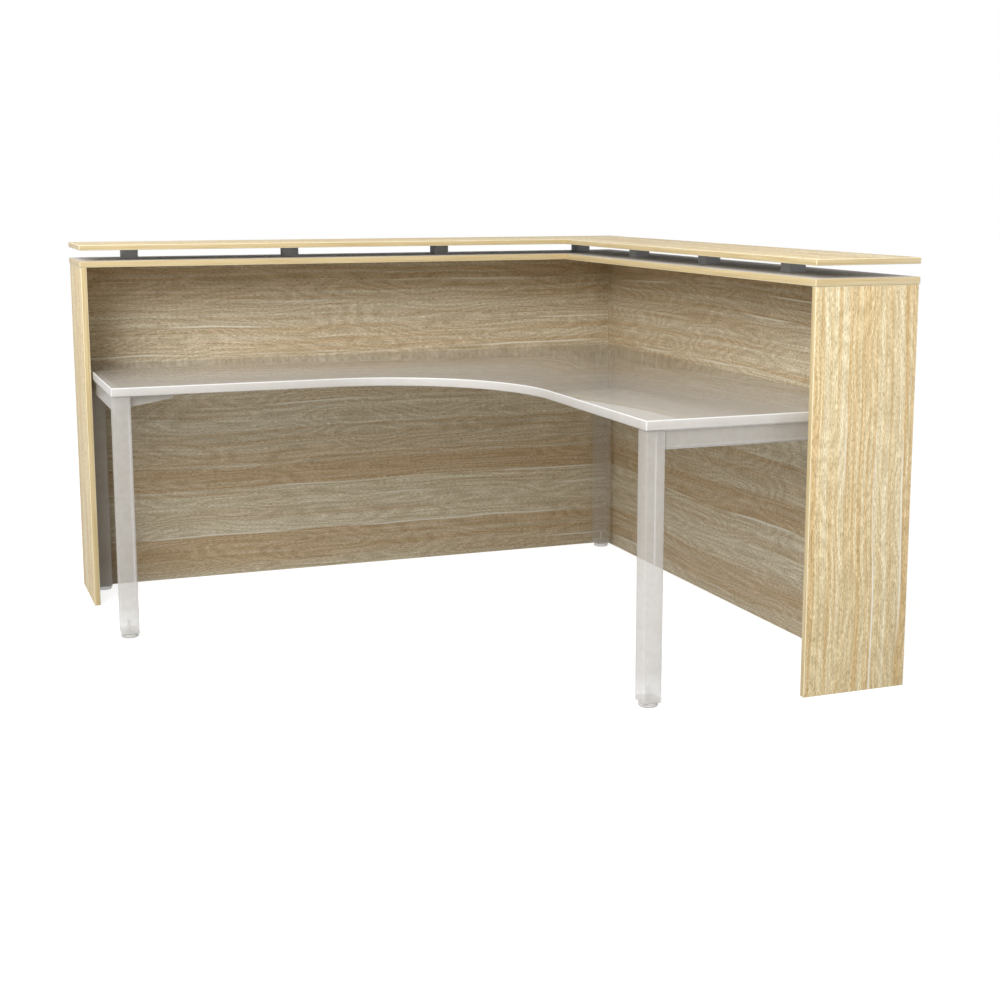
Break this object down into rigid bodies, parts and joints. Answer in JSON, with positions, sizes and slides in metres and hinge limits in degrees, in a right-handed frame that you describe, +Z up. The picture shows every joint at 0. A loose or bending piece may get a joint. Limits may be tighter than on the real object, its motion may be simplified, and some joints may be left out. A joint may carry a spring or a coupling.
{
  "type": "reception desk",
  "caption": "L-shaped reception counter in light oak melamine with a floating top on dark spacers and a pale corner workstation with levelling feet inside",
  "frame": {"origin": "on the floor, under the middle of the counter's outline", "axes": "+Z up, +Y to the customer side of the main arm, +X to the outer side of the return arm; the staff sit on the -X -Y side"},
  "size_m": [1.86, 1.86, 1.1],
  "materials": {
    "oak_melamine": "satin light oak",
    "spacer_grey": "matt dark grey",
    "zinc_steel": "zinc plated",
    "beech": "raw",
    "pale_worktop": null,
    "pale_steel": null,
    "plug_plastic": "moulded",
    "foot_plastic": "moulded"
  },
  "bodies": {
    "root": {"left_end_panel": "oak_melamine", "right_end_panel": "oak_melamine", "main_wall_panel": "oak_melamine", "return_wall_panel": "oak_melamine", "main_cap_board": "oak_melamine", "return_cap_board": "oak_melamine", "main_top_board": "oak_melamine", "return_top_board": "oak_melamine", "main_spacer_1": "spacer_grey", "main_spacer_2": "spacer_grey", "main_spacer_3": "spacer_grey", "corner_spacer": "spacer_grey", "return_spacer_1": "spacer_grey", "return_spacer_2": "spacer_grey", "return_spacer_3": "spacer_grey", "main_spacer_bolt_1": "zinc_steel", "main_spacer_bolt_2": "zinc_steel", "main_spacer_bolt_3": "zinc_steel", "corner_spacer_bolt": "zinc_steel", "return_spacer_bolt_1": "zinc_steel", "return_spacer_bolt_2": "zinc_steel", "return_spacer_bolt_3": "zinc_steel", "left_panel_dowel_1": "beech", "left_panel_dowel_2": "beech", "wall_corner_dowel_1": "beech", "wall_corner_dowel_2": "beech", "right_panel_dowel_1": "beech", "right_panel_dowel_2": "beech", "left_cap_dowel_1": "beech", "left_cap_dowel_2": "beech", "right_cap_dowel_1": "beech", "right_cap_dowel_2": "beech", "cap_joint_dowel_1": "beech", "cap_joint_dowel_2": "beech", "top_joint_dowel_1": "beech", "top_joint_dowel_2": "beech", "main_wall_cap_dowel": "beech", "return_wall_cap_dowel": "beech", "worktop": "pale_worktop", "front_left_leg": "pale_steel", "rear_left_leg": "pale_steel", "corner_leg": "pale_steel", "front_right_leg": "pale_steel", "rear_right_leg": "pale_steel", "front_left_leg_plug": "plug_plastic", "rear_left_leg_plug": "plug_plastic", "corner_leg_plug": "plug_plastic", "front_right_leg_plug": "plug_plastic", "rear_right_leg_plug": "plug_plastic", "left_side_rail": "pale_steel", "right_side_rail": "pale_steel", "support_bracket": "pale_steel", "left_packer": "beech", "right_packer": "beech"},
    "front_left_foot_body": {"front_left_foot": "foot_plastic"},
    "rear_left_foot_body": {"rear_left_foot": "foot_plastic"},
    "corner_foot_body": {"corner_foot": "foot_plastic"},
    "front_right_foot_body": {"front_right_foot": "foot_plastic"},
    "rear_right_foot_body": {"rear_right_foot": "foot_plastic"}
  },
  "joints": [
    {"name": "front_left_foot_screw", "type": "slide", "parent": "root", "child": "front_left_foot_body", "axis": [0, 0, -1], "range_m": [0, 0.015]},
    {"name": "rear_left_foot_screw", "type": "slide", "parent": "root", "child": "rear_left_foot_body", "axis": [0, 0, -1], "range_m": [0, 0.015]},
    {"name": "corner_foot_screw", "type": "slide", "parent": "root", "child": "corner_foot_body", "axis": [0, 0, -1], "range_m": [0, 0.015]},
    {"name": "front_right_foot_screw", "type": "slide", "parent": "root", "child": "front_right_foot_body", "axis": [0, 0, -1], "range_m": [0, 0.015]},
    {"name": "rear_right_foot_screw", "type": "slide", "parent": "root", "child": "rear_right_foot_body", "axis": [0, 0, -1], "range_m": [0, 0.015]}
  ]
}
